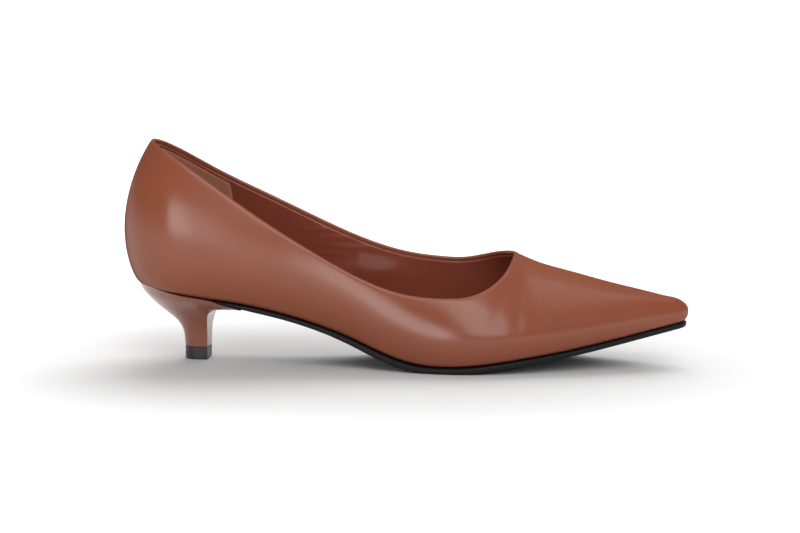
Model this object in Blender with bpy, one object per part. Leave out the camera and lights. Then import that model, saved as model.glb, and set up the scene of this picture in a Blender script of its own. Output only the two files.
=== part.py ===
"""Right-foot pump with a pointed toe and a low kitten heel, built as five separate pieces.

The upper is a leather shell pulled over a last, with its lower edge turned in under the foot. The
outsole closes it underneath, the insole lies inside on the turned-in edge, and the heel carries a
hard top piece where it meets the floor. Every piece is worked out from the same last, which is
given by three lines along the shoe: the feather line where the upper meets the sole, the widest
line above it, and the ridge over the instep and toe.

Sizes are in millimetres: x from the back of the counter towards the toe, y towards the wearer's
left (the inner side of the foot), z up from the floor. MM turns them into metres.
"""

import math

import bmesh
import bpy
import numpy as np
from mathutils import Vector

MM = 0.001
OUT, IN = "out", "in"
SIDE_SIGN = {OUT: -1.0, IN: 1.0}

# Driving sizes of the last
LENGTH = 255.3
BALL_WIDTH = 71.8
HEEL_HEIGHT = 33.3
INSTEP_HEIGHT = 50.4
BACK_HEIGHT = 99.3

# Thicknesses and clearances
WALL = 1.8
SOLE_THICKNESS = 3.1
INSOLE_THICKNESS = 2.5
GAP = 0.3
EDGE_ROUND = 0.55

# Ends of the last
HEEL_PIVOT = 0.125 * LENGTH
FOOT_BACK = 6.3
FOOT_TIP = LENGTH - 1.8
TOE_START = 0.952 * LENGTH
RIDGE_END = 0.964 * LENGTH
NOSE_START = 0.924 * LENGTH
FEATHER_ANGLE = math.radians(34)
TURNED_IN = 4.0

# Collar and throat
THROAT = 0.698 * LENGTH
THROAT_BACK = 0.587 * LENGTH
THROAT_SQUARE = {OUT: 2.4, IN: 2.15}
THROAT_FEATHER = 0.78 * LENGTH
QUARTER_FEATHER = 0.62 * LENGTH

# Outsole, heel and top piece
SOLE_LEDGE = 0.9
SOLE_BACK = 0.18 * LENGTH
SEAT_RAMP = 4.0
HEEL_LEDGE = 0.6
TOP_PIECE_HEIGHT = 5.7
HEEL_ARC_SHARE = 0.55

# Columns in each stretch of the upper, from the back of the heel to the toe, and rows up its wall
HEEL_COLUMNS = 8
QUARTER_COLUMNS = 15
THROAT_COLUMNS = 8
RIDGE_COLUMNS = 8
TOE_COLUMNS = 5
LOWER_ROWS = 5
UPPER_ROWS = 8
COLLAR_BEAD_STEPS = 3

# Steps along the straighter sides of the other pieces
SOLE_STEPS = 36
INSOLE_STEPS = 30
HEEL_SIDE_STEPS = 5
WIDTH_STEPS = 400

# Points closer than this are one point; edges turned more than this are drawn sharp
SAME_POINT = 0.01
SHARP_TURN = math.radians(35)

# The last seen from the side, a row for each section. at: share of LENGTH. bed: height of the
# feather line, share of HEEL_HEIGHT. crown: height of the ridge, share of INSTEP_HEIGHT. rise:
# height of the widest line above the bed, in mm. hold: how far the section keeps upright and level
# before it turns over, 0.55 for a quarter ellipse. axis: middle line, share of BALL_WIDTH.
PROFILE_COLUMNS = ("at", "bed", "crown", "rise_out", "rise_in", "hold_out", "hold_in", "axis")
PROFILE_ROWS = (
    (0.000, 1.066, 2.260, 24.0, 24.0, 0.46, 0.46, 0.000),
    (0.060, 1.026, 2.260, 23.2, 23.7, 0.46, 0.46, 0.000),
    (0.125, 0.945, 2.260, 22.5, 23.5, 0.46, 0.46, 0.000),
    (0.223, 0.838, 2.150, 21.0, 23.5, 0.46, 0.47, 0.000),
    (0.329, 0.646, 1.950, 19.0, 23.0, 0.45, 0.50, 0.003),
    (0.419, 0.417, 1.710, 16.0, 21.0, 0.45, 0.54, 0.018),
    (0.505, 0.154, 1.460, 13.0, 18.0, 0.41, 0.56, 0.038),
    (0.572, 0.088, 1.300, 11.5, 15.0, 0.37, 0.58, 0.058),
    (0.638, 0.116, 1.147, 10.5, 13.0, 0.35, 0.58, 0.073),
    (0.697, 0.174, 0.982, 10.0, 12.0, 0.35, 0.59, 0.082),
    (0.727, 0.207, 0.910, 9.7, 11.2, 0.36, 0.54, 0.081),
    (0.779, 0.266, 0.841, 9.0, 10.0, 0.38, 0.49, 0.075),
    (0.850, 0.370, 0.746, 8.0, 8.6, 0.42, 0.46, 0.066),
    (0.924, 0.488, 0.660, 6.0, 6.4, 0.48, 0.48, 0.060),
    (1.000, 0.612, 0.560, 4.4, 4.4, 0.50, 0.50, 0.056),
)

# The last seen from above: half widths from the middle line, shares of BALL_WIDTH, at the feather
# line (foot) and at the widest line (belly), on the outer and the inner side of the foot.
WIDTH_COLUMNS = ("at", "foot_out", "foot_in", "belly_out", "belly_in")
WIDTH_ROWS = (
    (0.125, 0.329, 0.329, 0.398, 0.398),
    (0.223, 0.318, 0.295, 0.393, 0.382),
    (0.329, 0.318, 0.243, 0.393, 0.357),
    (0.419, 0.374, 0.255, 0.439, 0.358),
    (0.505, 0.464, 0.330, 0.511, 0.402),
    (0.572, 0.531, 0.408, 0.570, 0.456),
    (0.638, 0.550, 0.450, 0.589, 0.492),
    (0.697, 0.516, 0.437, 0.555, 0.479),
    (0.779, 0.403, 0.369, 0.440, 0.407),
    (0.850, 0.293, 0.281, 0.327, 0.316),
    (0.924, 0.164, 0.162, 0.194, 0.192),
)

# Height of the collar's edge on both sides, share of BACK_HEIGHT, from the back to the throat.
COLLAR_COLUMNS = ("at", "top_out", "top_in")
COLLAR_ROWS = (
    (0.047, 1.006, 1.006),
    (0.094, 0.941, 0.933),
    (0.153, 0.847, 0.846),
    (0.243, 0.689, 0.735),
    (0.329, 0.550, 0.630),
    (0.419, 0.423, 0.526),
    (0.505, 0.342, 0.459),
    (0.587, 0.325, 0.436),
)

# Thickness of the outsole along its length, share of SOLE_THICKNESS.
SOLE_COLUMNS = ("at", "thick")
SOLE_ROWS = (
    (0.180, 0.15),
    (0.200, 0.42),
    (0.223, 0.63),
    (0.265, 0.69),
    (0.329, 0.68),
    (0.419, 0.90),
    (0.505, 1.00),
    (0.638, 1.00),
    (0.779, 0.86),
    (1.000, 0.74),
)

# The heel from its seat down to the top piece, a row for each level. back and front: its edges in x,
# shares of LENGTH. back_z and front_z: their heights, shares of HEEL_HEIGHT. half: half its width,
# share of BALL_WIDTH. The seat's own heights follow the last.
HEEL_LEVEL_COLUMNS = ("back", "back_z", "front", "front_z", "half")
HEEL_LEVEL_SCALE = (LENGTH, HEEL_HEIGHT, LENGTH, HEEL_HEIGHT, BALL_WIDTH)
HEEL_LEVEL_ROWS = (
    (0.0247, 1.009, 0.2233, 0.778, 0.334),
    (0.0298, 0.931, 0.2076, 0.774, 0.308),
    (0.0376, 0.865, 0.1864, 0.760, 0.274),
    (0.0517, 0.769, 0.1661, 0.724, 0.223),
    (0.0682, 0.673, 0.1567, 0.649, 0.173),
    (0.0834, 0.589, 0.1535, 0.568, 0.134),
    (0.0940, 0.517, 0.1520, 0.498, 0.107),
    (0.1011, 0.438, 0.1512, 0.426, 0.090),
    (0.1050, 0.342, 0.1508, 0.336, 0.081),
    (0.1069, 0.180, 0.1504, 0.180, 0.075),
)
HEEL_LEVELS_BETWEEN_ROWS = 2

# Finishes: colour, roughness, metallic value
LEATHER = ((0.240, 0.085, 0.050), 0.42, 0.0)
SOCK_LEATHER = ((0.150, 0.045, 0.028), 0.50, 0.0)
BLACK_RUBBER = ((0.010, 0.010, 0.012), 0.45, 0.0)
LACQUERED_HEEL = ((0.235, 0.085, 0.052), 0.25, 0.0)
BLACK_TOP_PIECE = ((0.012, 0.012, 0.013), 0.50, 0.0)


def spline(stations, values):
    """A natural cubic curve through a table's column, straight beyond its ends."""
    steps = np.diff(stations)
    slopes = np.diff(values) / steps
    size = len(stations)
    matrix = np.eye(size)
    bends = np.zeros(size)
    for i in range(1, size - 1):
        matrix[i, i - 1 : i + 2] = steps[i - 1], 2 * (steps[i - 1] + steps[i]), steps[i]
        bends[i] = 6 * (slopes[i] - slopes[i - 1])
    bends = np.linalg.solve(matrix, bends)

    def at(x):
        i = int(np.clip(np.searchsorted(stations, x) - 1, 0, size - 2))
        inside = min(max(x, stations[0]), stations[-1])
        a, b = stations[i + 1] - inside, inside - stations[i]
        step = steps[i]
        curve = (bends[i] * a**3 + bends[i + 1] * b**3) / (6 * step)
        curve += (values[i] / step - bends[i] * step / 6) * a
        curve += (values[i + 1] / step - bends[i + 1] * step / 6) * b
        slope = (bends[i + 1] * b**2 - bends[i] * a**2) / (2 * step)
        slope += slopes[i] - (bends[i + 1] - bends[i]) * step / 6
        return curve + slope * (x - inside)

    return at


def curves_along_shoe(names, rows):
    """One smooth curve along the shoe for each named column of a table."""
    table = np.array(rows, float)
    stations = table[:, 0] * LENGTH
    return {name: spline(stations, table[:, i]) for i, name in enumerate(names) if i}


PROFILE = curves_along_shoe(PROFILE_COLUMNS, PROFILE_ROWS)
WIDTHS = curves_along_shoe(WIDTH_COLUMNS, WIDTH_ROWS)
COLLAR = curves_along_shoe(COLLAR_COLUMNS, COLLAR_ROWS)
SOLE = curves_along_shoe(SOLE_COLUMNS, SOLE_ROWS)


def evenly(start, end, steps):
    return [start + (end - start) * i / steps for i in range(steps + 1)]


def slope_of(curve, x, step=0.5):
    return (curve(x + step) - curve(x - step)) / (2 * step)


def solve_rising(function, low, high, rounds=40):
    """Where a rising function crosses zero between two values."""
    for _ in range(rounds):
        middle = (low + high) / 2
        if function(middle) < 0:
            low = middle
        else:
            high = middle
    return (low + high) / 2


def bed(x):
    """Height of the feather line above the floor."""
    return HEEL_HEIGHT * PROFILE["bed"](x)


def layer(x, height):
    """Height of a layer that lies this far above (or below) the bed, measured square to it."""
    return bed(x) + height * math.hypot(1.0, slope_of(bed, x))


def axis(x):
    return BALL_WIDTH * PROFILE["axis"](x)


# The last's three lines


def half_width(rail, side, x, tip):
    """Half width of the last from above: the table, then a round nose that touches its taper."""
    column = WIDTHS[f"{rail}_{side}"]
    if x <= NOSE_START:
        return BALL_WIDTH * column(x)
    width = BALL_WIDTH * column(NOSE_START)
    taper = -BALL_WIDTH * slope_of(column, NOSE_START)
    slant = math.hypot(1.0, taper)
    radius = (NOSE_START + width / taper - tip) / (slant / taper - 1.0)
    centre = tip - radius
    if x < centre + radius * taper / slant:
        return width - taper * (x - NOSE_START)
    return math.sqrt(max(radius**2 - (x - centre) ** 2, 0.0))


HEEL_ARC = (HEEL_PIVOT - FOOT_BACK / 2) * math.pi / 2
TOE_ARC = (LENGTH - TOE_START) * math.pi / 2
BACK_MIDDLE = HEEL_PIVOT - HEEL_ARC
TOE_MIDDLE = TOE_START + TOE_ARC


def rail_point(rail, side, station):
    """Plan position of the feather line or widest line; stations run on round the heel and the toe."""
    back, tip = (FOOT_BACK, FOOT_TIP) if rail == "foot" else (0.0, LENGTH)
    if station < HEEL_PIVOT:
        turn = math.pi / 2 * (HEEL_PIVOT - station) / HEEL_ARC
        x = HEEL_PIVOT - (HEEL_PIVOT - back) * math.sin(turn)
        half = half_width(rail, side, HEEL_PIVOT, tip) * math.cos(turn)
    else:
        x = station
        if station > TOE_START:
            turn = math.pi / 2 * (station - TOE_START) / TOE_ARC
            x = TOE_START + (tip - TOE_START) * math.sin(min(turn, math.pi / 2))
        half = half_width(rail, side, x, tip)
    return x, axis(x) + SIDE_SIGN[side] * half


def feather(side, station):
    x, y = rail_point("foot", side, station)
    return np.array((x, y, bed(x)))


def belly(side, station):
    x, y = rail_point("belly", side, station)
    return np.array((x, y, bed(x) + PROFILE[f"rise_{side}"](x)))


def ridge(station):
    x = min(max(station, HEEL_PIVOT), TOE_START)
    if station > TOE_START:
        turn = min(math.pi / 2, math.pi / 2 * (station - TOE_START) / TOE_ARC)
        x += (RIDGE_END - TOE_START) * math.sin(turn)
    return np.array((x, axis(x), INSTEP_HEIGHT * PROFILE["crown"](x)))


def lower_wall(side, station, turn):
    """The wall between the feather line (turn FEATHER_ANGLE) and the widest line (turn 90 degrees)."""
    foot, wide = feather(side, station), belly(side, station)
    out = (math.sin(turn) - math.sin(FEATHER_ANGLE)) / (1 - math.sin(FEATHER_ANGLE))
    up = 1 - math.cos(turn) / math.cos(FEATHER_ANGLE)
    return foot + (wide - foot) * (out, out, up)


def upper_wall(side, station, share):
    """The wall between the widest line (share 0) and the ridge (share 1), a cubic curve."""
    wide, top = belly(side, station), ridge(station)
    hold = PROFILE[f"hold_{side}"](max(wide[0], HEEL_PIVOT))
    upright = wide + (top - wide) * (0, 0, hold)
    level = top + (wide - top) * (hold, hold, 0)
    rest = 1 - share
    return (
        rest**3 * wide
        + 3 * rest**2 * share * upright
        + 3 * rest * share**2 * level
        + share**3 * top
    )


# The upper


def collar_share(side, station):
    """Where the collar's edge crosses a section behind the throat."""

    def above_collar(share):
        x, _, z = upper_wall(side, station, share)
        return z - BACK_HEIGHT * COLLAR[f"top_{side}"](x)

    return solve_rising(above_collar, 0.0, 1.0)


def throat_share(side, station, half):
    """Where a section of the throat is this wide."""

    def inside_throat(share):
        x, y, _ = upper_wall(side, station, share)
        return half - abs(y - axis(x))

    return solve_rising(inside_throat, 0.0, 1.0)


def upper_columns(side):
    """(station at the feather line, station at the top edge, share at the top edge) of each column."""
    found = []
    for station in evenly(BACK_MIDDLE, HEEL_PIVOT, HEEL_COLUMNS)[:-1]:
        # Both sides end in one and the same column at the middle of the back
        edge_side = OUT if station == BACK_MIDDLE else side
        found.append((station, station, collar_share(edge_side, station)))
    feathers = evenly(HEEL_PIVOT, QUARTER_FEATHER, QUARTER_COLUMNS)
    for low, high in zip(feathers, evenly(HEEL_PIVOT, THROAT_BACK, QUARTER_COLUMNS)):
        found.append((low, high, collar_share(side, high)))
    x, y, _ = upper_wall(side, THROAT_BACK, found[-1][2])
    throat_half = abs(y - axis(x))
    feathers = evenly(QUARTER_FEATHER, THROAT_FEATHER, THROAT_COLUMNS)
    for low, turn in list(zip(feathers, evenly(0.0, math.pi / 2, THROAT_COLUMNS)))[1:-1]:
        high = THROAT_BACK + (THROAT - THROAT_BACK) * math.sin(turn) ** (2 / THROAT_SQUARE[side])
        half = throat_half * math.cos(turn) ** (2 / THROAT_SQUARE[side])
        found.append((low, high, throat_share(side, high, half)))
    feathers = evenly(THROAT_FEATHER, TOE_START, RIDGE_COLUMNS)
    for low, high in zip(feathers, evenly(THROAT, TOE_START, RIDGE_COLUMNS)):
        found.append((low, high, 1.0))
    for station in evenly(TOE_START, TOE_MIDDLE, TOE_COLUMNS)[1:]:
        found.append((station, station, 1.0))
    return found


def upper_column(side, low, high, top_share):
    """One column of the upper's outer face, from the turned-in edge to the collar or the ridge."""
    foot = feather(side, low)
    inward = ridge(low) - foot
    reach = math.hypot(inward[0], inward[1])
    edge = foot + inward * (1, 1, 0) * min(TURNED_IN / reach, 0.5)
    edge[2] = bed(edge[0])
    points = [edge]
    for i in range(LOWER_ROWS):
        turn = FEATHER_ANGLE + (math.pi / 2 - FEATHER_ANGLE) * i / LOWER_ROWS
        points.append(lower_wall(side, low, turn))
    for i in range(UPPER_ROWS + 1):
        up = i / UPPER_ROWS
        points.append(upper_wall(side, low + (high - low) * up, top_share * up))
    return points


def outer_shell():
    """The upper's outer face, open along the collar and along the turned-in edge."""
    shell = bmesh.new()
    for side in (OUT, IN):
        columns = [upper_column(side, *column) for column in upper_columns(side)]
        grid = [[shell.verts.new(point * MM) for point in column] for column in columns]
        for this, following in zip(grid, grid[1:]):
            for row in range(len(this) - 1):
                face = [this[row], following[row], following[row + 1], this[row + 1]]
                shell.faces.new(face if side == OUT else face[::-1])
    bmesh.ops.remove_doubles(shell, verts=shell.verts, dist=SAME_POINT * MM)
    shell.normal_update()
    return shell


def edge_bead(vert, within):
    """Points across the wall's edge from the outer to the inner face, rounded on the collar."""
    if vert.co.z < bed(vert.co.x / MM) * MM + TURNED_IN * MM:
        return [vert.co, within.co]
    before, after = (edge.other_vert(vert) for edge in vert.link_edges if edge.is_boundary)
    along = (after.co - before.co).normalized()
    away = along.cross(vert.normal).normalized()
    inside = sum((face.calc_center_median() for face in vert.link_faces), Vector())
    if away.dot(vert.co - inside / len(vert.link_faces)) < 0:
        away.negate()
    middle, half = (vert.co + within.co) / 2, (vert.co - within.co) / 2
    turns = [math.pi * i / (COLLAR_BEAD_STEPS + 1) for i in range(COLLAR_BEAD_STEPS + 2)]
    return [middle + half * math.cos(t) + away * half.length * math.sin(t) for t in turns]


def make_upper(finish):
    shell = outer_shell()
    faces, border = list(shell.faces), [edge for edge in shell.edges if edge.is_boundary]
    within = {}
    for vert in list(shell.verts):
        inset = vert.normal * vert.calc_shell_factor() * WALL * MM
        within[vert] = shell.verts.new(vert.co - inset)
    beads = {}
    for vert in {vert for edge in border for vert in edge.verts}:
        points = edge_bead(vert, within[vert])
        beads[vert] = [vert, *(shell.verts.new(point) for point in points[1:-1]), within[vert]]
    for edge in border:
        here, there = (beads[vert] for vert in edge.verts)
        for i in range(len(here) - 1):
            shell.faces.new((here[i], there[i], there[i + 1], here[i + 1]))
    for face in faces:
        shell.faces.new([within[vert] for vert in reversed(face.verts)])
    bmesh.ops.recalc_face_normals(shell, faces=shell.faces)
    return object_from("upper", shell, finish)


# Outsole and insole


def sole_underside(x):
    """The outsole's lower face, flat on the floor under the ball of the foot."""
    return max(layer(x, -GAP - SOLE_THICKNESS * SOLE["thick"](x)), 0.0)


def offset_path(points, distance):
    """A path in plan moved outwards, to the right of its own direction."""
    ahead = np.gradient(np.array(points), axis=0)
    ahead /= np.linalg.norm(ahead, axis=1)[:, None]
    return points + distance * np.stack((ahead[:, 1], -ahead[:, 0]), axis=1)


def both_sides(stations, point):
    """A path along the outer side to the toe and back along the inner side."""
    out = [point(OUT, station) for station in stations]
    back = [point(IN, station) for station in stations]
    return np.array(out + back[::-1])


def sole_path(ledge):
    """The feather line in plan, widened by a ledge, without its doubled point at the toe tip."""
    sides = evenly(SOLE_BACK, TOE_START, SOLE_STEPS)[:-1]
    nose = evenly(TOE_START, TOE_MIDDLE, TOE_COLUMNS)
    path = both_sides(sides + nose, lambda side, station: feather(side, station)[:2])
    tip = len(path) // 2
    path = offset_path(np.delete(path, tip, axis=0), ledge)
    return np.insert(path, tip, path[tip - 1], axis=0)


def make_outsole(finish):
    rim, sunk = sole_path(SOLE_LEDGE), sole_path(SOLE_LEDGE - EDGE_ROUND)
    top = [(x, y, layer(x, -GAP)) for x, y in rim]
    side = []
    for x, y in rim:
        low, high = sole_underside(x), layer(x, -GAP)
        side.append((x, y, low + min(EDGE_ROUND, (high - low) / 2)))
    underside = [(x, y, sole_underside(x)) for x, y in sunk]
    return solid_from_loops("outsole", (top, side, underside), finish)


def inner_wall(side, station, height):
    """Plan point just inside the upper's inner face, this far above the bed.

    The wall's outer face is straight between its rows, so its inner face is the innermost of those
    straight runs moved in by the wall's thickness.
    """
    foot, wide = feather(side, station), belly(side, station)
    outward = (wide - foot)[:2]
    outward /= np.linalg.norm(outward)
    along = feather(side, station + 0.5)[:2] - feather(side, station - 0.5)[:2]
    square = abs(along[0] * outward[1] - along[1] * outward[0]) / np.linalg.norm(along)
    step = (math.pi / 2 - FEATHER_ANGLE) / LOWER_ROWS
    rows = [lower_wall(side, station, FEATHER_ANGLE + step * i) - foot for i in range(LOWER_ROWS + 1)]
    runs = [(outward @ row[:2], row[2]) for row in rows]
    reach = []
    for (near, low), (far, high) in zip(runs, runs[1:]):
        lean = (far - near) / (high - low)
        reach.append(near + lean * (height - low) - WALL * math.hypot(1.0, lean) / square)
    return foot[:2] + outward * (min(reach) - GAP)


def make_insole(finish):
    heel = evenly(BACK_MIDDLE, HEEL_PIVOT, HEEL_COLUMNS)[:-1]
    sides = evenly(HEEL_PIVOT, TOE_START, INSOLE_STEPS)[:-1]
    nose = evenly(TOE_START, TOE_MIDDLE, TOE_COLUMNS)
    loops = []
    for height in (WALL + GAP, WALL + GAP + INSOLE_THICKNESS):
        path = both_sides(heel + sides + nose, lambda side, u: inner_wall(side, u, height))
        loops.append([(x, y, layer(x, height)) for x, y in path])
    return solid_from_loops("insole", loops[::-1], finish)


# Heel and top piece


def seat(x):
    """The heel's upper face: under the upper at the back, under the outsole in front of its end."""
    ramp = min(max((x - SOLE_BACK) / SEAT_RAMP + 1.0, 0.0), 1.0)
    under_sole = GAP + SOLE_THICKNESS * SOLE["thick"](max(x, SOLE_BACK))
    return layer(x, -GAP - ramp * under_sole)


def heel_outline(back, front, half):
    """One level of the heel in plan: (x, half width) from the middle of its back to a front corner."""
    pivot = back + HEEL_ARC_SHARE * (front - back)
    points = []
    for i in range(HEEL_COLUMNS + 1):
        turn = math.pi / 2 * i / HEEL_COLUMNS
        points.append((pivot - (pivot - back) * math.cos(turn), half * math.sin(turn)))
    for x in evenly(pivot, front, HEEL_SIDE_STEPS)[1:]:
        points.append((x, half))
    return points


def seat_outline(back, front):
    """The heel's top level in plan on each side, which follows the feather line."""
    points = {}
    for side in (OUT, IN):
        rows = []
        for x, _ in heel_outline(back, front, 1.0):
            if x < HEEL_PIVOT:
                turn = math.acos(min(max((HEEL_PIVOT - x) / (HEEL_PIVOT - back), -1.0), 1.0))
                half = half_width("foot", side, HEEL_PIVOT, FOOT_TIP) + HEEL_LEDGE
                rows.append((x, half * math.sin(turn)))
            else:
                rows.append((x, half_width("foot", side, x, FOOT_TIP) + HEEL_LEDGE))
        points[side] = rows
    return points


def heel_levels():
    """The rows of the heel's table, with more levels read from smooth curves between them."""
    rows = np.array(HEEL_LEVEL_ROWS) * HEEL_LEVEL_SCALE
    count = (len(rows) - 1) * HEEL_LEVELS_BETWEEN_ROWS + 1
    steps = np.arange(len(rows), dtype=float)
    columns = [spline(steps, rows[:, i]) for i in range(rows.shape[1])]
    places = np.linspace(0, len(rows) - 1, count)
    return [dict(zip(HEEL_LEVEL_COLUMNS, (curve(p) for curve in columns))) for p in places]


def heel_loop(level, top, sunk, seat_plan):
    """One level of the heel: the seat's plan and heights fade into the level's own as it goes down."""
    keep = (1 - sunk) ** 2
    own = heel_outline(level["back"], level["front"], level["half"])
    loop = {OUT: [], IN: []}
    for side in (OUT, IN):
        for (x, half), (seat_x, seat_half) in zip(own, seat_plan[side]):
            share = (x - level["back"]) / (level["front"] - level["back"])
            line = level["back_z"] + (level["front_z"] - level["back_z"]) * share
            seat_line = top["back_z"] + (top["front_z"] - top["back_z"]) * share
            wide = half * (1 - keep + keep * seat_half / top["half"])
            z = line + keep * (seat(seat_x) - seat_line)
            loop[side].append((x, axis(HEEL_PIVOT) + SIDE_SIGN[side] * wide, z))
    return loop[OUT] + loop[IN][::-1]


def make_heel(finish):
    levels = heel_levels()
    top = levels[0]
    seat_plan = seat_outline(top["back"], top["front"])
    depth = len(levels) - 1
    loops = [heel_loop(level, top, i / depth, seat_plan) for i, level in enumerate(levels)]
    return solid_from_loops("heel", loops, finish)


def make_top_piece(finish):
    level = heel_levels()[-1]
    loops = []
    for height, sunk in ((TOP_PIECE_HEIGHT, 0.0), (EDGE_ROUND, 0.0), (0.0, EDGE_ROUND)):
        plan = heel_outline(level["back"] + sunk, level["front"] - sunk, level["half"] - sunk)
        out = [(x, axis(HEEL_PIVOT) - half, height) for x, half in plan]
        back = [(x, axis(HEEL_PIVOT) + half, height) for x, half in plan]
        loops.append(out + back[::-1])
    return solid_from_loops("heel_top_piece", loops, finish)


# Meshes, materials and placing


def solid_from_loops(name, loops, finish):
    """A closed solid through stacked loops, capped by strips from one side of a loop to the other."""
    mesh = bmesh.new()
    rings = [[mesh.verts.new(np.array(point) * MM) for point in loop] for loop in loops]
    count = len(rings[0])
    for above, below in zip(rings, rings[1:]):
        for i in range(count):
            following = (i + 1) % count
            mesh.faces.new((above[i], above[following], below[following], below[i]))
    for ring in (rings[0], rings[-1]):
        for i in range(count // 2 - 1):
            mesh.faces.new((ring[i], ring[i + 1], ring[count - 2 - i], ring[count - 1 - i]))
    bmesh.ops.remove_doubles(mesh, verts=mesh.verts, dist=SAME_POINT * MM)
    bmesh.ops.dissolve_degenerate(mesh, edges=mesh.edges, dist=SAME_POINT * MM / 10)
    bmesh.ops.recalc_face_normals(mesh, faces=mesh.faces)
    return object_from(name, mesh, finish)


def material_from(name, finish):
    colour, roughness, metallic = finish
    material = bpy.data.materials.new(name)
    material.use_nodes = True
    shader = material.node_tree.nodes["Principled BSDF"]
    shader.inputs["Base Color"].default_value = (*colour, 1.0)
    shader.inputs["Roughness"].default_value = roughness
    shader.inputs["Metallic"].default_value = metallic
    return material


def object_from(name, mesh, finish):
    data = bpy.data.meshes.new(name)
    mesh.to_mesh(data)
    mesh.free()
    data.materials.append(material_from(name, finish))
    data.shade_smooth()
    data.set_sharp_from_angle(angle=SHARP_TURN)
    made = bpy.data.objects.new(name, data)
    bpy.context.scene.collection.objects.link(made)
    return made


def width_middle():
    """The middle of the shoe's whole width, which the frame puts at y = 0."""
    stations = evenly(HEEL_PIVOT, TOE_START, WIDTH_STEPS)
    edges = [belly(side, station)[1] for side in (OUT, IN) for station in stations]
    return (min(edges) + max(edges)) / 2


def main():
    for old in list(bpy.data.objects):
        bpy.data.objects.remove(old)
    shoe = bpy.data.objects.new("pump_shoe", None)
    bpy.context.scene.collection.objects.link(shoe)
    shoe.location = (-LENGTH / 2 * MM, -width_middle() * MM, 0.0)
    pieces = (
        make_upper(LEATHER),
        make_outsole(BLACK_RUBBER),
        make_insole(SOCK_LEATHER),
        make_heel(LACQUERED_HEEL),
        make_top_piece(BLACK_TOP_PIECE),
    )
    for piece in pieces:
        piece.parent = shoe


main()
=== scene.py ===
"""Looks of a right-foot pump with a pointed toe and a kitten heel.

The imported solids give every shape. Leather, lining, heel grip, sock, sole, heel and top piece are
made from copies of them, with the folded collar edge, the back seam and the soft waves of the
leather added. Lengths are in metres in the shoe's own frame: +x to the toe, +y to the inner side of
the foot, +z up.
"""

import heapq
import math

import bmesh
import bpy
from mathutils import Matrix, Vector
from mathutils.geometry import intersect_point_line


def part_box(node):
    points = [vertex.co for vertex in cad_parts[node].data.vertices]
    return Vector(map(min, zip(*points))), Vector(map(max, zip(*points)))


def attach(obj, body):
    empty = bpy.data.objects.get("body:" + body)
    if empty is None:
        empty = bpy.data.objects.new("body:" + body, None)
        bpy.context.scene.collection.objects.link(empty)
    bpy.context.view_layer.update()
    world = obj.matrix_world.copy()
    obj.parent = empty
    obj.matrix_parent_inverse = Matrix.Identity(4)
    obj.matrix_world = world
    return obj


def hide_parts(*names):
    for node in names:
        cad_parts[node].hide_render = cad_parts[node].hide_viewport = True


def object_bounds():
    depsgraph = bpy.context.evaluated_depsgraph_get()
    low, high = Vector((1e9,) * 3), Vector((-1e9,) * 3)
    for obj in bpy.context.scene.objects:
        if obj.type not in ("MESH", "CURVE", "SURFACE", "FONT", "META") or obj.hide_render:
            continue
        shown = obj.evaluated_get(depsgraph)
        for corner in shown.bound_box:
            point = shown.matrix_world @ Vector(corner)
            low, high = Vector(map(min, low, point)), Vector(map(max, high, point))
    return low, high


bl_info = {
    "name": "Pump shoe",
    "version": (1, 0, 0),
    "blender": (4, 5, 0),
    "location": "View3D > Sidebar > Pump",
    "description": "Dresses a pump in leather, lining, rubber and lacquer",
    "category": "Add Mesh",
}

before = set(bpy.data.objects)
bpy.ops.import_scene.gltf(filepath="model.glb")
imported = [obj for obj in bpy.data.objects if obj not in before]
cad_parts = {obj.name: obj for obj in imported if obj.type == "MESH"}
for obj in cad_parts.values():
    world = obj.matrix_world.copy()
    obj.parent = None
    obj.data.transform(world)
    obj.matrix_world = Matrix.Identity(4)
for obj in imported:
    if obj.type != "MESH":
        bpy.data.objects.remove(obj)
CAD_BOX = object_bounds()

MM = 0.001
BACK = CAD_BOX[0].x
TOP = CAD_BOX[1].z
MIDDLE_BACK = sum(corner.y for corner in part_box("heel_top_piece")) / 2

# Reading the solids' meshes
SAME_POINT = 0.002 * MM  # points nearer than this are one
START_REACH = 20 * MM  # the first row starts this near the back
USUAL_TURN = math.radians(8)  # turn of a row that is no sign of doubt
SHARP_TURN = math.radians(60)  # turn of an edge that ends the upper's inner side
INSIDE = 1  # index of the upper's inner faces

# Smoothing
SUBDIVISIONS = 2
FOLD_ROW = 0.4 * MM  # row of faces that keeps the step under the fold
EDGE_ROW = 0.8 * MM  # row of faces that keeps the edges of lining and grip
EDGE_TURN = math.radians(40)  # turn over which an edge stays an edge
SOLE_EDGE_TURN = math.radians(30)
SOCK_CREASE = 0.8
SOLE_CREASE = 0.85

# Lining and heel grip
LINING_FLAT = 0.9  # upward share of the normal of the turned-in edge, which has no lining
GRIP_LEVEL = 70 * MM  # height at which the place of the grip's front edge is given
GRIP_LEAN = 0.12  # lean of that edge

# Back seam
SEAM_REACH = 20 * MM  # it lies within this of the back
ON_SEAM = 0.05 * MM  # points within this of the middle lie on it
SEAM_FACING = -0.2  # the outer face looks back at least this much
SEAM_COLUMNS = 4
SEAM_START = 2 * MM  # its furrow starts this far under the collar
SEAM_FADE = 10 * MM  # and deepens over this length

# Soft waves of the leather on the outer side: x from the back of the shoe, z, half lengths along x
# and z, and depth, in millimetres. They lie where the side of the vamp flexes.
WAVES = (
    (171.0, 21.0, 3.2, 9.0, 0.12),
    (180.5, 23.0, 2.6, 7.0, 0.13),
    (188.0, 21.0, 2.4, 8.0, 0.10),
    (195.5, 33.0, 2.5, 4.0, 0.12),
    (142.0, 19.0, 5.0, 9.0, 0.15),
)
WAVE_PUSH = Vector((0.0, 0.85, -0.53))

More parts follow.
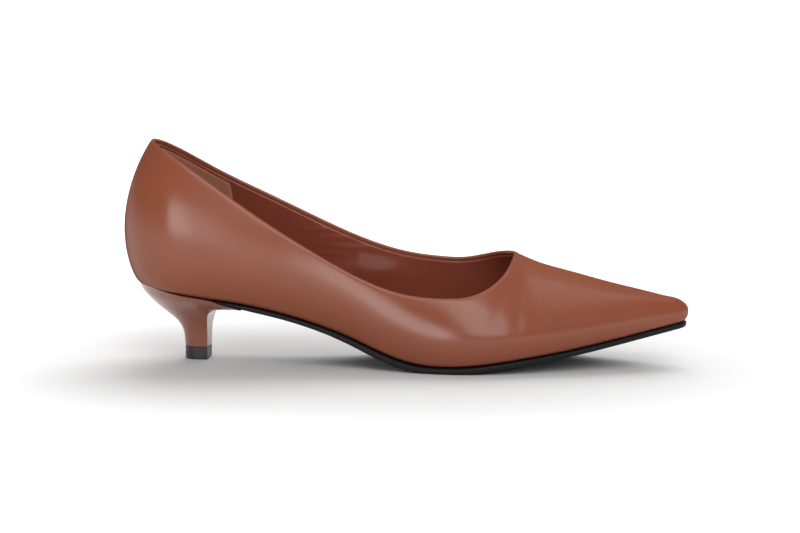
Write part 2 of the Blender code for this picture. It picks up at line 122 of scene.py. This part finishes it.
# Wrinkles and a soft fold of the lining on the inner side, given alike
LINING_WAVES = (
    (86.0, 57.0, 9.0, 1.0, 0.33),
    (95.0, 53.5, 12.0, 1.1, 0.40),
    (84.0, 51.0, 8.0, 1.0, 0.30),
    (99.0, 49.0, 11.0, 1.1, 0.38),
    (91.0, 46.0, 9.0, 1.0, 0.30),
    (104.0, 43.5, 2.0, 6.0, 0.50),
    (110.0, 37.0, 14.0, 6.0, 1.80),
)
LINING_PUSH = Vector((0.0, -0.90, 0.44))

# Camera: it looks at the shoe from its outer side, a little from in front and above
CAMERA_AIM = Vector((-0.00188, -0.00177, 0.04314))
CAMERA_AZIMUTH = 6.0
CAMERA_ELEVATION = 7.0
CAMERA_DISTANCE = 1.001
CAMERA_LENS = 100.0

# Softboxes: name, azimuth and elevation in degrees, width, height, power, seen in gloss or not
LIGHT_DISTANCE = 5.0
SOFTBOXES = (
    ("left_light", -20, 10, 2.0, 1.5, 54.0, True),
    ("right_light", 14, 38, 2.2, 4.2, 104.0, True),
    ("top_light", 0, 85, 4.0, 6.0, 85.0, True),
    ("fill_light", 32, 28, 4.0, 4.0, 60.0, False),
)
FLOOR_REACH = 200.0


def linear(code):
    """Linear colour of an sRGB hex value."""
    channels = (int(code[i : i + 2], 16) / 255 for i in (1, 3, 5))
    return tuple(c / 12.92 if c <= 0.04045 else ((c + 0.055) / 1.055) ** 2.4 for c in channels)


def size(name, description, millimetres):
    return bpy.props.FloatProperty(
        name=name,
        description=description,
        default=millimetres * MM,
        min=0.0,
        precision=5,
        unit="LENGTH",
    )


def colour(name, description, code):
    return bpy.props.FloatVectorProperty(
        name=name,
        description=description,
        default=linear(code),
        size=3,
        min=0.0,
        max=1.0,
        subtype="COLOR",
    )


class PumpSizes(bpy.types.PropertyGroup):
    """Sizes of what is added to the solids."""

    fold_width: size("Fold width", "Leather turned over the collar, seen from inside", 1.4)
    fold_raise: size("Fold raise", "How far the turned leather stands out inside", 0.35)
    groove_width: size("Groove width", "Gap between the fold and the lining", 0.8)
    lining_thickness: size("Lining thickness", "Leather that lines the upper", 0.8)
    grip_front: size("Grip front", "Front edge of the heel grip from the back of the shoe", 46.0)
    grip_drop: size("Grip drop", "Top of the heel grip under the lining's edge", 1.0)
    grip_thickness: size("Grip thickness", "Suede of the heel grip", 0.7)
    seam_width: size("Seam width", "Half width of the back seam's furrow", 0.6)
    seam_depth: size("Seam depth", "Depth of the back seam's furrow", 0.3)
    # Grain and nap are a few times coarser than real ones, which would be too fine to show
    grain: size("Leather grain", "Width of a pebble of the leather's grain", 0.9)
    nap: size("Suede nap", "Width of a tuft of the suede", 0.8)


class PumpColours(bpy.types.PropertyGroup):
    """Colours of the materials."""

    leather: colour("Leather", "Cognac-brown calf", "#814731")
    leather_shade: colour("Leather shade", "Darker clouds in the calf", "#783F2B")
    lining: colour("Lining", "Dark red-brown lining", "#783C2C")
    grip: colour("Heel grip", "Suede of the heel grip", "#9E6852")
    sock: colour("Sock", "Leather that covers the insole", "#7A4230")
    sole: colour("Sole", "Black sole rubber", "#141416")
    lacquer: colour("Heel", "Brown lacquer of the heel", "#7E4A38")
    top_piece: colour("Top piece", "Black plastic under the heel", "#1C1C1E")
    floor: colour("Floor", "Pale floor", "#CACACA")


# Working meshes


def merged(node):
    """A node's mesh with its points merged."""
    mesh = bmesh.new()
    mesh.from_mesh(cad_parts[node].data)
    bmesh.ops.remove_doubles(mesh, verts=mesh.verts, dist=SAME_POINT)
    return mesh


def copy_of(node):
    """A node's mesh, merged, with its triangles joined to rows of four-sided faces."""
    mesh = merged(node)
    bmesh.ops.dissolve_edges(mesh, edges=diagonals(mesh), use_verts=False)
    for face in mesh.faces:
        face.material_index = 0
    return mesh


def corners_round(edge):
    """The corners, in order, of the four-sided face that an edge between two triangles cuts."""
    first, second = edge.verts
    tips = [next(v for v in face.verts if v not in edge.verts) for face in edge.link_faces]
    return first, tips[0], second, tips[1]


def squareness(edge):
    """How far the corners of that face are from right angles, in radians."""
    points = [vert.co for vert in corners_round(edge)]
    turns = []
    for i in range(4):
        before, after = points[i - 1] - points[i], points[(i + 1) % 4] - points[i]
        turns.append(abs(before.angle(after) - math.pi / 2))
    return max(turns)


def turn_at(corner, other, below, above):
    """The turn of the line below-corner-above, with the faces beside corner-other laid flat."""
    side = other.co - corner.co
    return abs(side.angle(below.co - corner.co) + side.angle(above.co - corner.co) - math.pi)


def diagonals(mesh):
    """The edges that cut four-sided faces into triangles.

    They are found row by row from the squarest face near the back: the line that a face's side
    follows runs straight on into the next face, so the edge that leaves it there is the diagonal.
    """
    back = min(vert.co.x for vert in mesh.verts)
    near = [edge for edge in mesh.edges if edge.verts[0].co.x < back + START_REACH]
    found, used, open_sides = [], set(), []

    def join(diagonal):
        found.append(diagonal)
        used.update(diagonal.link_faces)
        corners = corners_round(diagonal)
        for i in range(4):
            look_across(corners[i], corners[(i + 1) % 4], corners[i - 1], corners[(i + 2) % 4])

    def look_across(left, right, below_left, below_right):
        side = next(edge for edge in left.link_edges if right in edge.verts)
        face = next((face for face in side.link_faces if face not in used), None)
        if face is None:
            return
        tip = next(vert for vert in face.verts if vert not in side.verts)
        turn_left = turn_at(left, right, below_left, tip)
        turn_right = turn_at(right, left, below_right, tip)
        crossing = right if turn_left < turn_right else left
        diagonal = next(edge for edge in tip.link_edges if crossing in edge.verts)
        doubt = (min(turn_left, turn_right) + USUAL_TURN) / max(turn_left, turn_right)
        heapq.heappush(open_sides, (doubt, diagonal.index, diagonal))

    mesh.edges.index_update()
    join(min(near, key=squareness))
    while open_sides:
        diagonal = heapq.heappop(open_sides)[2]
        if not used.intersection(diagonal.link_faces):
            join(diagonal)
    return shifted(mesh, found)


def shifted(mesh, found):
    """The same diagonals, moved one edge on along the shortest row between leftover triangles."""
    joined = {face: edge for edge in found for face in edge.link_faces}
    for start in [face for face in mesh.faces if face not in joined]:
        rows, seen = [(start, ())], {start}
        while rows and start not in joined:
            face, row = rows.pop(0)
            for edge in face.edges:
                ahead = next(other for other in edge.link_faces if other is not face)
                if ahead in seen:
                    continue
                seen.add(ahead)
                if ahead not in joined:
                    for new in (*row, edge):
                        joined.update({face: new for face in new.link_faces})
                    break
                beyond = next(other for other in joined[ahead].link_faces if other is not ahead)
                seen.add(beyond)
                rows.append((beyond, (*row, edge)))
    return list(set(joined.values()))


def collar_crest(mesh):
    """The edges along the crest of the collar, walked round from the highest point."""
    start = max(mesh.verts, key=lambda vert: vert.co.z)
    crest = [max(start.link_edges, key=lambda edge: abs(edge.verts[0].co.y - edge.verts[1].co.y))]
    vert = crest[0].other_vert(start)
    while vert is not start:
        beside = set(crest[-1].link_faces)
        crest.append(next(e for e in vert.link_edges if not beside.intersection(e.link_faces)))
        vert = crest[-1].other_vert(vert)
        if len(crest) > len(mesh.verts):
            raise ValueError("The collar's crest does not close.")
    return crest


def mark_inside(mesh, crest):
    """Gives the faces inside the upper, from the crest to the turned-in edge, their own index."""
    start = max(mesh.verts, key=lambda vert: vert.co.z)
    found = [max(start.link_faces, key=lambda face: face.calc_center_median().x)]
    found[0].material_index = INSIDE
    closed = set(crest)
    while found:
        for edge in found.pop().edges:
            if edge in closed or edge.calc_face_angle(0.0) > SHARP_TURN:
                continue
            for face in edge.link_faces:
                if face.material_index != INSIDE:
                    face.material_index = INSIDE
                    found.append(face)


def upper_copy():
    """The upper with its inner faces marked, and each point's distance from the collar's crest."""
    mesh = copy_of("upper")
    crest = collar_crest(mesh)
    mark_inside(mesh, crest)
    drop = mesh.verts.layers.float.new("drop")
    runs = [(edge.verts[0].co, edge.verts[1].co) for edge in crest]
    for vert in mesh.verts:
        vert[drop] = min(distance_to(vert.co, *run) for run in runs)
    return mesh, drop


def distance_to(point, start, end):
    """Distance of a point from a straight run between two others."""
    near, share = intersect_point_line(point, start, end)
    if share < 0.0 or share > 1.0:
        near = start if share < 0.0 else end
    return (point - near).length


def cut_inside(mesh, drop, level):
    """Cuts the inner faces along a line at this distance from the crest."""
    made = []
    for edge in list(mesh.edges):
        low, high = sorted(edge.verts, key=lambda vert: vert[drop])
        inside = all(face.material_index == INSIDE for face in edge.link_faces)
        if inside and low[drop] < level - SAME_POINT and high[drop] > level + SAME_POINT:
            share = (level - low[drop]) / (high[drop] - low[drop])
            made.append(bmesh.utils.edge_split(edge, low, share)[1])
    bmesh.ops.connect_verts(mesh, verts=made)


def keep_faces(mesh, wanted):
    unwanted = [face for face in mesh.faces if not wanted(face)]
    bmesh.ops.delete(mesh, geom=unwanted, context="FACES")


def piece_from(name, mesh, material, modifiers=()):
    """A finished piece of the shoe, with its modifiers."""
    data = bpy.data.meshes.new(name)
    mesh.to_mesh(data)
    mesh.free()
    data.materials.clear()
    data.materials.append(material)
    data.polygons.foreach_set("material_index", [0] * len(data.polygons))
    data.shade_smooth()
    piece = bpy.data.objects.new(name, data)
    bpy.context.scene.collection.objects.link(piece)
    for kind, settings in modifiers:
        modifier = piece.modifiers.new(kind.title(), kind)
        for key, value in settings.items():
            setattr(modifier, key, value)
    return piece


SMOOTH = ("SUBSURF", {"levels": SUBDIVISIONS, "render_levels": SUBDIVISIONS})


def wall_of(thickness):
    return ("SOLIDIFY", {"thickness": thickness, "offset": 1.0, "use_even_offset": True})


def settle(piece, node=None):
    """Lets a piece ride on the shoe, in place of a node if one is named."""
    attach(piece, "root")
    if node:
        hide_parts(node)


# Materials


def add(tree, kind, inputs, **settings):
    """Adds a node with its settings and gives its first output; inputs are values or outputs."""
    made = tree.nodes.new(kind)
    for name, value in settings.items():
        setattr(made, name, value)
    for name, value in inputs.items():
        socket = next(s for s in made.inputs if s.enabled and s.name == name)
        if isinstance(value, bpy.types.NodeSocket):
            tree.links.new(value, socket)
        else:
            socket.default_value = value
    return next(output for output in made.outputs if output.enabled)


def shaded(name, base, values):
    """A material with one principled shader and its plain values, and Object coordinates."""
    material = bpy.data.materials.new(name)
    material.use_nodes = True
    tree = material.node_tree
    shader = tree.nodes["Principled BSDF"].inputs
    shader["Base Color"].default_value = (*base, 1.0)
    for socket, value in values.items():
        shader[socket].default_value = value
    place = add(tree, "ShaderNodeTexCoord", {}).node.outputs["Object"]
    return material, tree, shader, place


def calf_leather(colours, sizes):
    """Finished calf, dyed and sprayed: even colour, faint clouds, fine pebbles, a satin coat."""
    values = {"Specular IOR Level": 0.0, "Coat Roughness": 0.22}
    material, tree, shader, place = shaded("finished_calf", colours.leather, values)
    patches = {"Vector": place, "Scale": 1 / (28 * MM), "Detail": 4.0}
    clouds = add(tree, "ShaderNodeTexNoise", patches)
    shades = {"Factor": clouds, "A": (*colours.leather, 1.0), "B": (*colours.leather_shade, 1.0)}
    tree.links.new(add(tree, "ShaderNodeMix", shades, data_type="RGBA"), shader["Base Color"])
    gloss = add(tree, "ShaderNodeMapRange", {"Value": clouds, "To Min": 0.46, "To Max": 0.56})
    tree.links.new(gloss, shader["Roughness"])
    # The grain hides the coat from a glancing eye
    slant = add(tree, "ShaderNodeLayerWeight", {"Blend": 0.5}).node.outputs["Facing"]
    coat = {"Value": slant, "From Min": 0.5, "From Max": 0.85, "To Min": 0.75, "To Max": 0.02}
    tree.links.new(add(tree, "ShaderNodeMapRange", coat), shader["Coat Weight"])
    cells = {"Vector": place, "Scale": 1 / sizes.grain, "Randomness": 0.9}
    pebbles = add(tree, "ShaderNodeTexVoronoi", cells, feature="SMOOTH_F1")
    relief = {"Height": pebbles, "Strength": 0.4, "Distance": 0.05 * MM}
    tree.links.new(add(tree, "ShaderNodeBump", relief), shader["Normal"])
    return material


def lining_leather(colours):
    """Thin lining leather, plated smooth: dark, with fine wrinkles along the foot."""
    values = {"IOR": 1.5, "Roughness": 0.24}
    material, tree, shader, place = shaded("plated_lining", colours.lining, values)
    along = add(tree, "ShaderNodeMapping", {"Vector": place, "Scale": (0.12, 0.3, 1.0)})
    streaks = {"Vector": along, "Scale": 1 / (1.6 * MM), "Detail": 2.0, "Distortion": 0.4}
    wrinkles = add(tree, "ShaderNodeTexNoise", streaks)
    relief = {"Height": wrinkles, "Strength": 0.5, "Distance": 0.15 * MM}
    tree.links.new(add(tree, "ShaderNodeBump", relief), shader["Normal"])
    return material


def suede(colours, sizes):
    """Suede, buffed flesh side up: matt, napped, a little lighter where the tufts lie over."""
    values = {"Roughness": 0.95, "Sheen Weight": 0.1, "Sheen Roughness": 0.5}
    material, tree, shader, place = shaded("buffed_suede", colours.grip, values)
    pile = {"Vector": place, "Scale": 1 / sizes.nap, "Detail": 3.0}
    tufts = add(tree, "ShaderNodeTexNoise", pile)
    dark = tuple(0.75 * value for value in colours.grip)
    shades = {"Factor": tufts, "A": (*dark, 1.0), "B": (*colours.grip, 1.0)}
    tree.links.new(add(tree, "ShaderNodeMix", shades, data_type="RGBA"), shader["Base Color"])
    relief = {"Height": tufts, "Strength": 0.5, "Distance": 0.2 * MM}
    tree.links.new(add(tree, "ShaderNodeBump", relief), shader["Normal"])
    return material


def grained(name, base, grain, relief, roughness, gloss=0.5, coat=0.0):
    """A sprayed or moulded finish with a fine even texture, and a clear coat if it has one."""
    values = {"Specular IOR Level": gloss, "Coat Weight": coat, "Coat Roughness": 0.08}
    material, tree, shader, place = shaded(name, base, values)
    specks = {"Vector": place, "Scale": 1 / grain, "Detail": 2.0}
    texture = add(tree, "ShaderNodeTexNoise", specks)
    spread = {"Value": texture, "To Min": roughness - 0.06, "To Max": roughness + 0.06}
    tree.links.new(add(tree, "ShaderNodeMapRange", spread), shader["Roughness"])
    bumps = {"Height": texture, "Strength": 0.3, "Distance": relief}
    tree.links.new(add(tree, "ShaderNodeBump", bumps), shader["Normal"])
    return material


def matt_floor_with_painted_glow(colours):
    """Studio floor, rolled on matt: pale, and washed white away from the shoe by a painted glow, an
    emission that stands in for light.
    """
    values = {"Roughness": 0.9, "Emission Color": (1.0, 1.0, 1.0, 1.0)}
    material, tree, shader, place = shaded("matt_floor_with_painted_glow", colours.floor, values)
    # The painted glow spares an oval round the shoe that lies a little nearer to the camera, so the
    # shoe's shadow shows there
    per_half_size = (1 / (150 * MM), 1 / (120 * MM), 1.0)
    oval = {"Vector": place, "Location": (0.0, 0.15, 0.0), "Scale": per_half_size}
    ring = add(tree, "ShaderNodeMapping", oval)
    reach = add(tree, "ShaderNodeVectorMath", {"Vector": ring}, operation="LENGTH")
    wash = {"Value": reach, "From Min": 0.5, "From Max": 2.2, "To Min": 0.0, "To Max": 0.6}
    glow = add(tree, "ShaderNodeMapRange", wash, interpolation_type="SMOOTHSTEP")
    # Painted light: the floor glows by this emission though it is no lamp
    tree.links.new(glow, shader["Emission Strength"])
    return material


# Pieces


def add_seam_columns(mesh, sizes):
    """Extra columns of faces where the two quarters are sewn together at the back of the heel."""

    def on_seam(vert):
        return abs(vert.co.y - MIDDLE_BACK) < ON_SEAM and vert.co.x < BACK + SEAM_REACH

    def outer(edge):
        return all(face.material_index != INSIDE for face in edge.link_faces)

    bmesh.ops.bevel(
        mesh,
        geom=[edge for edge in mesh.edges if outer(edge) and all(map(on_seam, edge.verts))],
        affect="EDGES",
        offset=2 * sizes.seam_width,
        segments=SEAM_COLUMNS,
        profile=0.5,
        material=-1,
        loop_slide=True,
    )


def made_dense(piece):
    """Makes a piece's smoothing final, so that its points can be pressed."""
    depsgraph = bpy.context.evaluated_depsgraph_get()
    dense = bpy.data.meshes.new_from_object(piece.evaluated_get(depsgraph), depsgraph=depsgraph)
    piece.modifiers.clear()
    piece.data = dense
    return dense


def press_seam(dense, sizes):
    """The narrow furrow where the quarters are sewn together, fading out under the collar."""
    facings = [vert.normal.x for vert in dense.vertices]
    for vert, facing in zip(dense.vertices, facings):
        if facing < SEAM_FACING and vert.co.x < BACK + SEAM_REACH:
            across = (vert.co.y - MIDDLE_BACK) / sizes.seam_width
            fade = min(max((TOP - SEAM_START - vert.co.z) / SEAM_FADE, 0.0), 1.0)
            vert.co.x += sizes.seam_depth * fade * math.exp(-(across**2))


def press_waves(dense, waves, push, side):
    """Soft waves, pushed into one side's wall from both its faces alike."""
    for vert in dense.vertices:
        if (vert.co.y - MIDDLE_BACK) * side < 0.0:
            continue
        for at, height, half_length, half_height, depth in waves:
            along = (vert.co.x - BACK - at * MM) / (half_length * MM)
            up = (vert.co.z - height * MM) / (half_height * MM)
            vert.co += push * depth * MM * math.exp(-(along**2) - up**2)


class PUMP_OT_upper(bpy.types.Operator):
    """Leather upper with its edge folded over the collar"""

    bl_idname = "pump.upper"
    bl_label = "Upper"

    def execute(self, context):
        sizes, colours = context.scene.pump_sizes, context.scene.pump_colours
        mesh, drop = upper_copy()
        cut_inside(mesh, drop, sizes.fold_width)
        cut_inside(mesh, drop, sizes.fold_width + FOLD_ROW)
        mesh.normal_update()
        for vert in mesh.verts:
            folded = vert[drop] < sizes.fold_width + SAME_POINT
            if folded and all(face.material_index == INSIDE for face in vert.link_faces):
                vert.co += vert.normal * sizes.fold_raise
        add_seam_columns(mesh, sizes)
        piece = piece_from("upper_leather", mesh, calf_leather(colours, sizes), (SMOOTH,))
        dense = made_dense(piece)
        press_seam(dense, sizes)
        press_waves(dense, WAVES, WAVE_PUSH, -1)
        settle(piece, "upper")
        return {"FINISHED"}


class PUMP_OT_lining(bpy.types.Operator):
    """Lining of the upper and suede grip inside the heel"""

    bl_idname = "pump.lining"
    bl_label = "Lining and heel grip"

    def execute(self, context):
        sizes, colours = context.scene.pump_sizes, context.scene.pump_colours
        edge = sizes.fold_width + sizes.groove_width

        def sheet(top):
            mesh, drop = upper_copy()
            cut_inside(mesh, drop, top)
            cut_inside(mesh, drop, top + EDGE_ROW)
            mesh.normal_update()
            keep_faces(
                mesh,
                lambda face: face.material_index == INSIDE
                and face.normal.z < LINING_FLAT
                and all(vert[drop] > top - 2 * SAME_POINT for vert in face.verts),
            )
            mesh.normal_update()
            return mesh

        lining = sheet(edge)
        piece = piece_from(
            "lining", lining, lining_leather(colours), (wall_of(sizes.lining_thickness), SMOOTH)
        )
        press_waves(made_dense(piece), LINING_WAVES, LINING_PUSH, 1)
        settle(piece)

        grip = sheet(edge + sizes.grip_drop)
        bmesh.ops.bisect_plane(
            grip,
            geom=grip.verts[:] + grip.edges[:] + grip.faces[:],
            plane_co=(BACK + sizes.grip_front, 0.0, GRIP_LEVEL),
            plane_no=(1.0, 0.0, GRIP_LEAN),
            clear_outer=True,
        )
        for vert in grip.verts:
            vert.co += vert.normal * sizes.lining_thickness
        piece = piece_from(
            "heel_grip", grip, suede(colours, sizes), (wall_of(sizes.grip_thickness), SMOOTH)
        )
        settle(piece)
        return {"FINISHED"}


def creased_copy(node, turn, crease):
    """A node's copy whose edges that turn more than this keep most of their edge when smoothed."""
    mesh = copy_of(node)
    layer = mesh.edges.layers.float.new("crease_edge")
    for edge in mesh.edges:
        if edge.calc_face_angle(0.0) > turn:
            edge[layer] = crease
    return mesh


def edged_copy(node):
    """A node's copy, shaded smooth but for the edges that stay edges."""
    mesh = merged(node)
    for edge in mesh.edges:
        edge.smooth = edge.calc_face_angle(0.0) < EDGE_TURN
    return mesh


class PUMP_OT_sock(bpy.types.Operator):
    """Leather sock on the insole"""

    bl_idname = "pump.sock"
    bl_label = "Sock"

    def execute(self, context):
        colours = context.scene.pump_colours
        mesh = creased_copy("insole", EDGE_TURN, SOCK_CREASE)
        finish = grained(
            "plated_sock", colours.sock, grain=1.2 * MM, relief=0.1 * MM, roughness=0.5
        )
        settle(piece_from("sock", mesh, finish, (SMOOTH,)), "insole")
        return {"FINISHED"}


class PUMP_OT_outsole(bpy.types.Operator):
    """Black outsole"""

    bl_idname = "pump.outsole"
    bl_label = "Outsole"

    def execute(self, context):
        colours = context.scene.pump_colours
        mesh = creased_copy("outsole", SOLE_EDGE_TURN, SOLE_CREASE)
        finish = grained(
            "sole_rubber", colours.sole, grain=0.8 * MM, relief=0.06 * MM, roughness=0.5, gloss=0.18
        )
        settle(piece_from("sole", mesh, finish, (SMOOTH,)), "outsole")
        return {"FINISHED"}


class PUMP_OT_heel(bpy.types.Operator):
    """Lacquered heel and its top piece"""

    bl_idname = "pump.heel"
    bl_label = "Heel and top piece"

    def execute(self, context):
        colours = context.scene.pump_colours
        mesh = edged_copy("heel")
        finish = grained(
            "sprayed_lacquer",
            colours.lacquer,
            grain=3.0 * MM,
            relief=0.02 * MM,
            roughness=0.22,
            gloss=0.3,
            coat=0.6,
        )
        settle(piece_from("lacquered_heel", mesh, finish), "heel")
        mesh = edged_copy("heel_top_piece")
        finish = grained(
            "moulded_top_piece", colours.top_piece, grain=0.6 * MM, relief=0.08 * MM, roughness=0.36
        )
        settle(piece_from("top_piece", mesh, finish), "heel_top_piece")
        return {"FINISHED"}


def towards(azimuth, elevation):
    """Unit vector from the shoe: azimuth 0 to its outer side, 90 to the toe, in degrees."""
    turn, rise = math.radians(azimuth), math.radians(elevation)
    level = math.cos(rise)
    return Vector((math.sin(turn) * level, -math.cos(turn) * level, math.sin(rise)))


def softbox(name, azimuth, elevation, width, height, power, mirrored):
    """A rectangular studio light that faces the shoe, and may be mirrored in its gloss."""
    light = bpy.data.lights.new(name, "AREA")
    light.shape = "RECTANGLE"
    light.size, light.size_y = width, height
    light.energy = power
    lamp = bpy.data.objects.new(name, light)
    back = towards(azimuth, elevation)
    lamp.location = CAMERA_AIM + back * LIGHT_DISTANCE
    lamp.rotation_euler = back.to_track_quat("Z", "Y").to_euler()
    lamp.visible_camera = False
    lamp.visible_glossy = mirrored
    bpy.context.scene.collection.objects.link(lamp)


def overhead(name, azimuth, elevation, spread, strength):
    """A wide, distant light that reaches the whole floor alike."""
    light = bpy.data.lights.new(name, "SUN")
    light.energy = strength
    light.angle = math.radians(spread)
    lamp = bpy.data.objects.new(name, light)
    lamp.rotation_euler = towards(azimuth, elevation).to_track_quat("Z", "Y").to_euler()
    lamp.visible_glossy = False
    bpy.context.scene.collection.objects.link(lamp)


class PUMP_OT_stage(bpy.types.Operator):
    """Floor, light and camera"""

    bl_idname = "pump.stage"
    bl_label = "Stage"

    def execute(self, context):
        scene = context.scene
        mesh = bmesh.new()
        bmesh.ops.create_grid(mesh, x_segments=1, y_segments=1, size=FLOOR_REACH)
        piece_from("floor", mesh, matt_floor_with_painted_glow(scene.pump_colours))
        scene.world = bpy.data.worlds.new("studio")
        scene.world.use_nodes = True
        tree = scene.world.node_tree
        sky = tree.nodes["Background"].inputs
        sky["Color"].default_value = (1.0, 1.0, 1.0, 1.0)
        way = add(tree, "ShaderNodeTexCoord", {})
        height = add(tree, "ShaderNodeSeparateXYZ", {"Vector": way}).node.outputs["Z"]
        glow = {"Value": height, "From Min": 0.04, "From Max": 0.16, "To Min": 1.0, "To Max": 0.15}
        tree.links.new(add(tree, "ShaderNodeMapRange", glow), sky["Strength"])
        overhead("ceiling", azimuth=172, elevation=45, spread=50, strength=3.1)
        for lamp in SOFTBOXES:
            softbox(*lamp)
        camera = bpy.data.objects.new("camera", bpy.data.cameras.new("camera"))
        camera.data.lens = CAMERA_LENS
        back = towards(CAMERA_AZIMUTH, CAMERA_ELEVATION)
        camera.location = CAMERA_AIM + back * CAMERA_DISTANCE
        camera.rotation_euler = back.to_track_quat("Z", "Y").to_euler()
        scene.collection.objects.link(camera)
        scene.camera = camera
        scene.view_settings.view_transform = "Standard"
        return {"FINISHED"}


class PUMP_PT_panel(bpy.types.Panel):
    """Lists the pump's pieces, sizes and colours"""

    bl_label = "Pump"
    bl_space_type = "VIEW_3D"
    bl_region_type = "UI"
    bl_category = "Pump"

    def draw(self, context):
        for operator in OPERATORS:
            self.layout.operator(operator.bl_idname)
        for group in (context.scene.pump_sizes, context.scene.pump_colours):
            for key in group.__annotations__:
                self.layout.prop(group, key)


GROUPS = (PumpSizes, PumpColours)
OPERATORS = (
    PUMP_OT_upper,
    PUMP_OT_lining,
    PUMP_OT_sock,
    PUMP_OT_outsole,
    PUMP_OT_heel,
    PUMP_OT_stage,
)


def register():
    for item in (*GROUPS, *OPERATORS, PUMP_PT_panel):
        bpy.utils.register_class(item)
    bpy.types.Scene.pump_sizes = bpy.props.PointerProperty(type=PumpSizes)
    bpy.types.Scene.pump_colours = bpy.props.PointerProperty(type=PumpColours)


def unregister():
    del bpy.types.Scene.pump_colours
    del bpy.types.Scene.pump_sizes
    for item in reversed((*GROUPS, *OPERATORS, PUMP_PT_panel)):
        bpy.utils.unregister_class(item)


def main():
    register()
    bpy.ops.pump.upper()
    bpy.ops.pump.lining()
    bpy.ops.pump.sock()
    bpy.ops.pump.outsole()
    bpy.ops.pump.heel()
    bpy.ops.pump.stage()


if __name__ == "__main__":
    main()
